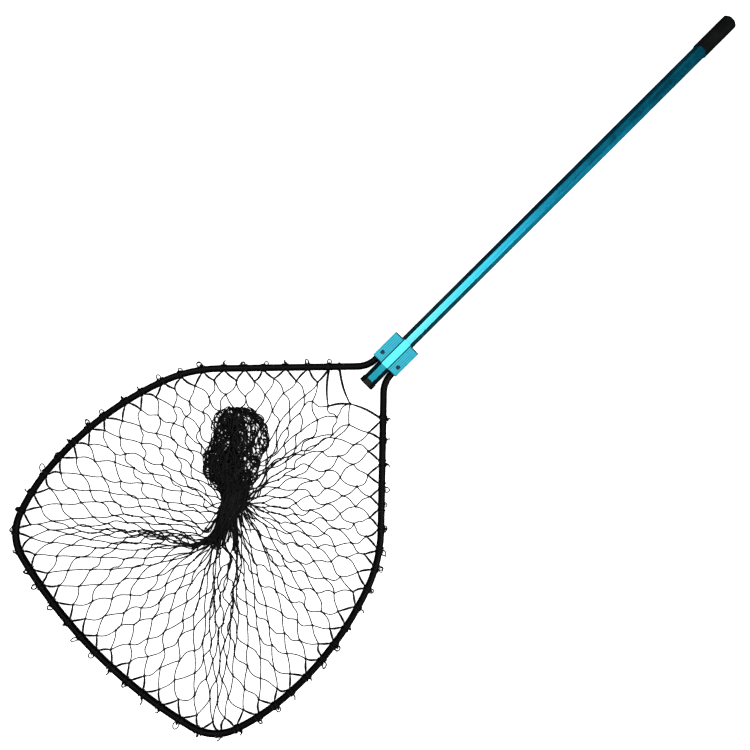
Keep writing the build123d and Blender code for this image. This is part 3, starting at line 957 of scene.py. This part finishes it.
for k in range(N_ATT - 1):
    b = B[k]
    bk = np.array([b[0], b[1], kz[index[(0, k)]]])
    for side, sa in ((1, ATT[k]), (-1, ATT[k + 1])):
        off = side * rng.uniform(0.0020, 0.0070)
        s = sa + off
        c, t, nn = frame_on(s)
        sag0 = rng.normal(0, 0.0012)
        for m in (-1, 1):
            # the leg's end on the hoop's inner side, then once round
            o = m * 0.0008
            path = []
            e0 = c + nn * (RW + 0.0002) + t * o
            sag = sag0
            perp = np.array([-(e0 - bk)[1], (e0 - bk)[0], 0.0])
            perp /= np.linalg.norm(perp) + 1e-9
            for q in np.linspace(0, 1, 6)[:-1]:
                w = math.sin(math.pi * q)
                path.append(bk + (e0 - bk) * q + perp * (sag * w + m * 0.0007 * w ** 0.5) + np.array([0, 0, 0.0015 * w]))
            path += turn(s + o, -side * 0.0016, 0.0, 2 * math.pi * 0.97, n=18)
            nleg = 6
            edge.tube(np.array(path), np.concatenate([np.full(nleg - 1, TW * 0.95), np.full(len(path) - nleg + 1, TW * 0.62)]), cap=False)
    edge.knot(bk, 0.0030, (rng.uniform(-1, 1), rng.uniform(-1, 1)), 0.8)
for k in range(N_ATT):
    s = ATT[k]
    # a hitch between neighbouring legs on top of the tube, and a loop that stands off outside
    hitch = turn(s + 0.003, -0.006, math.pi * 0.15, math.pi * 1.85, rad=RW + 0.0006, n=18)
    edge.tube(np.array(hitch), TW * 0.6, cap=True)
    c, t, nn = frame_on(s + rng.normal(0, 0.002))
    out = -nn
    reach = abs(rng.normal(0.0036, 0.0020)) + 0.0030
    if 0.30 < s / HOOP_LEN < 0.60 and rng.random() < 0.5:
        reach = min(0.0115, reach * 1.5)
    lean = rng.normal(0, 0.55)
    d = out * math.cos(lean) + t * math.sin(lean)
    e = np.cross([0, 0, 1.0], d)
    a = c + out * (HOOP_R + 0.0002) + np.array([0, 0, rng.uniform(-0.002, 0.003)])
    wid = rng.uniform(0.0030, 0.0052)
    zz = np.array([0, 0, 1.0])
    if rng.random() < 0.62:
        ctrl = [
            a - e * wid * 0.5 - d * 0.002, a + d * reach * 0.45 - e * wid, a + d * reach - e * wid * 0.35 + zz * 0.0008,
            a + d * reach + e * wid * 0.5 + zz * 0.001, a + d * reach * 0.4 + e * wid, a - d * 0.002 + e * wid * 0.4,
        ]
        loops.tube(smooth_path(ctrl, 4), TW * 0.95, cap=True)
        if rng.random() < 0.5:
            ctrl2 = [q + e * rng.normal(0, 0.0012) + d * rng.normal(0, 0.0010) + zz * 0.0012 for q in ctrl]
            loops.tube(smooth_path(ctrl2, 4), TW * 0.85, cap=True)
    else:
        ctrl = [a - d * 0.002, a + d * reach * 0.5 + e * wid * 0.3, a + d * reach * 1.1 - e * wid * 0.4]
        loops.tube(smooth_path(ctrl, 4), TW * 1.15, cap=True)
    if rng.random() < 0.35:
        loops.knot(a + d * 0.0018, 0.0031, (d[0], d[1]), 0.8)
border = edge.build("border_wraps")
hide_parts("border_rings")
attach(border, FRAME_BODY)
outer_loops = loops.build("border_loops")
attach(outer_loops, FRAME_BODY)

# ---------------------------------------------------------------------------------------------------------------
# throat: doubled strands across the arms
# ---------------------------------------------------------------------------------------------------------------
thr = Strands(6)
T0, T1 = at(-92, -5), at(-123, 20)
zt = 0.0031


def run(st, pts, rad=TW, doubled=0.0, ends=(False, False), z0=zt, n=5):
    """A smooth strand through plan points (with optional heights); doubled offsets a second strand alongside."""
    p = [np.array([q[0], q[1], q[2] if len(q) > 2 else z0]) for q in pts]
    line = smooth_path(p, n)
    sides = (0.0,) if not doubled else (-doubled, doubled)
    tang = np.gradient(line, axis=0)
    nr = np.column_stack([-tang[:, 1], tang[:, 0], np.zeros(len(line))])
    nr /= np.linalg.norm(nr, axis=1)[:, None] + 1e-12
    for o in sides:
        w = np.sin(np.linspace(0, math.pi, len(line))) ** 0.5
        st.tube(line + nr * o * w[:, None], rad, cap=True)


def arm_point(s):
    c, t, nn = frame_on(s)
    return c, t, nn


def tie(st, s, target, dbl=0.0011, turns=1):
    """A doubled strand from target to the hoop at s, then round it."""
    c, t, nn = frame_on(s)
    e0 = c + nn * RW
    tg = np.array([target[0], target[1], target[2] if len(target) > 2 else zt])
    perp = np.array([-(e0 - tg)[1], (e0 - tg)[0], 0.0])
    perp /= np.linalg.norm(perp)
    for m in (-1, 1):
        path = []
        sag = 0.003
        for q in np.linspace(0, 1, 9)[:-1]:
            w = math.sin(math.pi * q)
            path.append(tg + (e0 + t * m * 0.0011 - tg) * q + perp * (sag + m * 0.0004) * w + np.array([0, 0, 0.001 * w]))
        path += turn(s + m * 0.0011, 0.0015, 0.0, 2 * math.pi * 0.97 * turns, n=18 * turns)
        st.tube(np.array(path), TW, cap=False)


S_P = HOOP_LEN  # arc lengths count from the +Y arm; the -Y arm is at the other end
tie(thr, 0.070, T0)
tie(thr, 0.090, T1)
tie(thr, S_P - 0.083, T0)
run(thr, [T0, (T0 + T1) / 2 + np.array([0.001, 0.002]), T1], doubled=0.0010)
for p in (T0, T1):
    thr.knot(np.array([p[0], p[1], zt]), 0.0034, (1, 0.4), 0.7)
throat = thr.build("throat_strands")
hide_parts("throat_cord")
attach(throat, FRAME_BODY)

# ---------------------------------------------------------------------------------------------------------------
# the gathered bag: a neck of strands drawn together, and a crumpled heap
# ---------------------------------------------------------------------------------------------------------------
UPV = np.array([0.7059, 0.7083])  # the heap's long axis in plan
SIDE = np.array([0.7083, -0.7059])
# heap outline: distance along the axis, left edge, right edge (mm)
PROFILE = np.array([
    (-46, -33, 10), (-30, -26, 18), (-14, -25, 23), (0, -27, 26), (12, -37, 29), (23, -44, 32), (34, -47, 34), (48, -49, 36),
    (60, -49, 40), (71, -49, 47), (83, -45, 54), (93, -40, 57), (104, -38, 57), (114, -37, 55), (124, -34, 50), (135, -30, 43),
    (143, -24, 33), (150, -18, 22), (156, -8, 10),
]) / 1000.0


def edges_at(h):
    return np.interp(h, PROFILE[:, 0], PROFILE[:, 1]), np.interp(h, PROFILE[:, 0], PROFILE[:, 2])


def heap_point(u, h):
    return WAIST + SIDE * u + UPV * h


def heap_height(u, h):
    lo, hi = edges_at(h)
    c, w = (lo + hi) / 2, max(1e-4, (hi - lo) / 2)
    q = min(1.0, abs(u - c) / w)
    along = np.interp(h, [-0.046, 0.0, 0.03, 0.09, 0.13, 0.148, 0.158], [0.010, 0.017, 0.026, 0.0290, 0.0265, 0.020, 0.010])
    return 0.0032 + along * math.sqrt(max(0.0, 1 - q ** 2.4))


heap = Strands(5)
n_bars = 620
for _ in range(n_bars):
    h = rng.uniform(-0.012, 0.152)
    lo, hi = edges_at(h)
    u = lo + (hi - lo) * rng.beta(1.0, 1.22)
    ang = rng.normal(0.0, 0.6) + (math.pi if rng.random() < 0.5 else 0.0)
    curl = rng.normal(0, 22.0)
    zf = 1 - 0.75 * rng.random() ** 1.6
    pts = []
    step = 0.0046
    nn = rng.integers(6, 10)
    for q in range(nn):
        lo, hi = edges_at(h)
        c, w = (lo + hi) / 2, max(0.002, (hi - lo) / 2)
        # steer back inside
        over = (u - c) / w
        if abs(over) > 0.93:
            u = c + w * 0.93 * math.copysign(1, over) + rng.normal(0, 0.0006)
            ang += 0.35 * math.copysign(1, over) * math.copysign(1, math.cos(ang))
            ang -= 0.0
        p = heap_point(u, h)
        z = 0.003 + (heap_height(u, h) - 0.003) * zf
        pts.append((p[0], p[1], z))
        curl += rng.normal(0, 14.0)
        curl *= 0.85
        ang += curl * step
        zf = min(1.0, max(0.12, zf + rng.normal(0, 0.05)))
        h += math.cos(ang) * step
        u += math.sin(ang) * step
        h = min(0.1545, max(-0.02, h))
    heap.tube(smooth_path(pts, 2), TW, cap=True)
    if rng.random() < 0.4:
        a = rng.uniform(0, math.pi)
        heap.knot(np.array(pts[-1]), rng.uniform(0.0021, 0.0028), (math.cos(a), math.sin(a)), 0.9)
# loose loops standing off the heap's edge
for _ in range(64):
    h = rng.uniform(0.02, 0.152)
    right_side = rng.random() < 0.6
    lo, hi = edges_at(h)
    lo2, hi2 = edges_at(h + 0.004)
    e = hi if right_side else lo
    sl = ((hi2 - hi) if right_side else (lo2 - lo)) / 0.004
    d = np.array([1.0 if right_side else -1.0, -sl * (1.0 if right_side else -1.0)])
    d /= np.linalg.norm(d)
    tt = np.array([-d[1], d[0]])
    wid, reach = rng.uniform(0.006, 0.015), rng.uniform(0.0005, 0.0075)
    z0 = rng.uniform(0.004, 0.018)
    ctrl = []
    for f1, f2 in ((-1.0, -0.006), (-0.75, reach * 0.7), (0.0, reach), (0.75, reach * 0.7), (1.0, -0.006)):
        q = np.array([e, h]) + tt * wid * f1 + d * f2
        p = heap_point(q[0], q[1])
        ctrl.append((p[0], p[1], z0 + rng.normal(0, 0.0008)))
    heap.tube(smooth_path(ctrl, 4), TW, cap=True)
# dense inside of the heap
core_v, core_f = [], []
hs = np.linspace(-0.02, 0.138, 30)
for h in hs:
    lo, hi = edges_at(h)
    c, w = (lo + hi) / 2 - (hi - lo) * 0.10, (hi - lo) / 2 * (0.60 if h < 0.03 else 0.16)
    ring = []
    for j in range(20):
        a = 2 * math.pi * j / 20
        u = c + w * math.cos(a)
        top = (heap_height(c + (u - c) * 0.9, h) - 0.003) * 0.78
        z = 0.003 + max(0.0, math.sin(a)) * top
        p = heap_point(u, h)
        ring.append((p[0] + rng.normal(0, 0.0007), p[1] + rng.normal(0, 0.0007), z + (rng.normal(0, 0.0009) if math.sin(a) > 0.1 else 0)))
    core_v.extend(ring)
for i in range(len(hs) - 1):
    for j in range(20):
        a, b = i * 20 + j, i * 20 + (j + 1) % 20
        core_f.append([a, b, b + 20, a + 20])
core_f.append(list(range(20))[::-1])
core_f.append([(len(hs) - 1) * 20 + j for j in range(20)])
heap.v.append(np.array(core_v))
cl = np.zeros((len(core_v), 3))
cl[:, 0] = np.repeat(hs, 20)
cl[:, 1] = np.tile(np.arange(20) / 20.0, len(hs)) * 9
heap.lay.append(cl)
heap.f.extend([[heap.count + q for q in f] for f in core_f])
heap.count += len(core_v)
heap_obj = heap.build("gathered_bag")

for i in range(M):
    for half in range(2):
        fl, fln, fd, _s, _k = flow(i + half * 0.5)
        lane = rng.normal(0, 0.0038)
        lift = rng.uniform(0.005, 0.019)
        q = fd + rng.uniform(0.0, 0.038)
        end = fln[-1] - rng.uniform(0.0, 0.05)
        ctrl = []
        while q < end or len(ctrl) < 3:
            here = np.array([np.interp(q, fln, fl[:, 0]), np.interp(q, fln, fl[:, 1])])
            ahead = np.array([np.interp(q + 0.005, fln, fl[:, 0]), np.interp(q + 0.005, fln, fl[:, 1])]) - here
            if np.linalg.norm(ahead) < 1e-5:
                break
            ahead = ahead / np.linalg.norm(ahead)
            grow = min(1.0, max(0.15, (q - fd) / 0.03))
            wide = 1.0 + 1.4 * min(1.0, max(0.0, (q - fd - 0.05) / 0.05))
            pt = here + np.array([-ahead[1], ahead[0]]) * lane * wide * grow + rng.normal(0, 0.0004 + 0.0008 * grow, 2)
            ctrl.append((pt[0], pt[1], 0.0026 + (lift - 0.0026) * min(1.0, max(0.0, (q - fd) / 0.07)) + rng.normal(0, 0.0005) * grow))
            q += 0.013
        if len(ctrl) < 3:
            continue
        ctrl = [(c0, c1, max(0.0018, c2)) for c0, c1, c2 in ctrl]
        neck.tube(smooth_path(ctrl, 4), TW, cap=True)
        if rng.random() < 0.4:
            aa = rng.uniform(0, math.pi)
            neck.knot(np.array(ctrl[1]), rng.uniform(0.0023, 0.0029), (math.cos(aa), math.sin(aa)), 0.9)
neck_obj = neck.build("neck_strands")
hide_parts("net_bundle")
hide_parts("net_neck")
for o in (heap_obj, neck_obj):
    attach(o, FRAME_BODY)
    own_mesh(o)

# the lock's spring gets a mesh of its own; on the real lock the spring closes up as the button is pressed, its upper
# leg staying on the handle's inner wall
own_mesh(nodes["lock_spring"])

# ---------------------------------------------------------------------------------------------------------------
# floor and light
# ---------------------------------------------------------------------------------------------------------------
fm = Mat("studio_floor")
fn = fm.noise(3.0, 3.0, 0.5)
fm.l(fm.mix(fm.maprange(fn, 0.3, 0.7, 0, 1), (0.90, 0.90, 0.90), (0.93, 0.93, 0.93)), fm.b.inputs["Base Color"])
fm.set(Roughness=0.9, Specular_IOR_Level=0.1, Emission_Color=(1.0, 1.0, 1.0, 1.0), Emission_Strength=0.9)
# painted reflection: glossy rays see the floor as a dark blue-grey diffuse, so shiny parts reflect dark where they
# would reflect the white floor
floor_painted_reflection_bsdf = fm.n("ShaderNodeBsdfDiffuse")
floor_painted_reflection_bsdf.inputs["Color"].default_value = (0.012, 0.016, 0.022, 1)
f_mix = fm.n("ShaderNodeMixShader")
fm.l(fm.n("ShaderNodeLightPath").outputs["Is Glossy Ray"], f_mix.inputs[0])
fm.l(fm.b.outputs["BSDF"], f_mix.inputs[1])
fm.l(floor_painted_reflection_bsdf.outputs[0], f_mix.inputs[2])
fm.l(f_mix.outputs[0], fm.out.inputs["Surface"])
bm = bmesh.new()
bmesh.ops.create_grid(bm, x_segments=8, y_segments=8, size=14.0)
floor_me = bpy.data.meshes.new("floor")
bm.to_mesh(floor_me)
bm.free()
floor = bpy.data.objects.new("floor", floor_me)
floor.location = (0, 0, -0.0004)
floor_me.materials.append(fm.m)
coll.objects.link(floor)


def area(name, loc, target, size, size_y, power, color=(1, 1, 1)):
    li = bpy.data.lights.new(name, "AREA")
    li.shape = "RECTANGLE"
    li.size, li.size_y, li.energy, li.color = size, size_y, power, color
    o = bpy.data.objects.new(name, li)
    o.location = loc
    d = Vector(target) - Vector(loc)
    o.rotation_mode = "QUATERNION"
    o.rotation_quaternion = d.to_track_quat("-Z", "Y")
    coll.objects.link(o)
    return o


area("overhead", (-0.24, 0.0, 2.6), (-0.24, 0.0, 0), 2.5, 2.6, 57)
area("fill_right", (0.3, -2.3, 2.5), (0.1, 0.0, 0.0), 1.8, 1.0, 75)
area("fill_left", (0.1, 1.9, 3.0), (0.0, 0.0, 0.0), 1.6, 1.0, 60)
area("side_low", (1.5, -3.6, 0.75), (0.75, 0.0, 0.0), 1.2, 1.2, 9.0)

world = bpy.data.worlds.new("studio")
scene.world = world
world.use_nodes = True
wt = world.node_tree
wt.nodes.clear()
wo = wt.nodes.new("ShaderNodeOutputWorld")
bg_cam = wt.nodes.new("ShaderNodeBackground")
bg_cam.inputs["Color"].default_value = (0.97, 0.97, 0.97, 1)
bg_cam.inputs["Strength"].default_value = 1.0
bg = wt.nodes.new("ShaderNodeBackground")
bg.inputs["Strength"].default_value = 1.0
# dark at the horizon, a soft band of light above it
w_co = wt.nodes.new("ShaderNodeTexCoord")
w_sep = wt.nodes.new("ShaderNodeSeparateXYZ")
w_ramp = wt.nodes.new("ShaderNodeValToRGB")
wt.links.new(w_co.outputs["Generated"], w_sep.inputs[0])
wt.links.new(w_sep.outputs[2], w_ramp.inputs["Fac"])
e = w_ramp.color_ramp.elements
e[0].position, e[0].color = 0.05, (0.018, 0.019, 0.020, 1)
e[1].position, e[1].color = 1.0, (0.02, 0.021, 0.022, 1)
for w_pos, w_val in ((0.20, 0.05), (0.34, 0.36), (0.52, 0.32), (0.74, 0.05)):
    e.new(w_pos).color = (w_val, w_val * 1.04, w_val * 1.1, 1)
wt.links.new(w_ramp.outputs["Color"], bg.inputs["Color"])
lp = wt.nodes.new("ShaderNodeLightPath")
mx = wt.nodes.new("ShaderNodeMixShader")
wt.links.new(lp.outputs["Is Camera Ray"], mx.inputs[0])
wt.links.new(bg.outputs[0], mx.inputs[1])
wt.links.new(bg_cam.outputs[0], mx.inputs[2])
wt.links.new(mx.outputs[0], wo.inputs["Surface"])
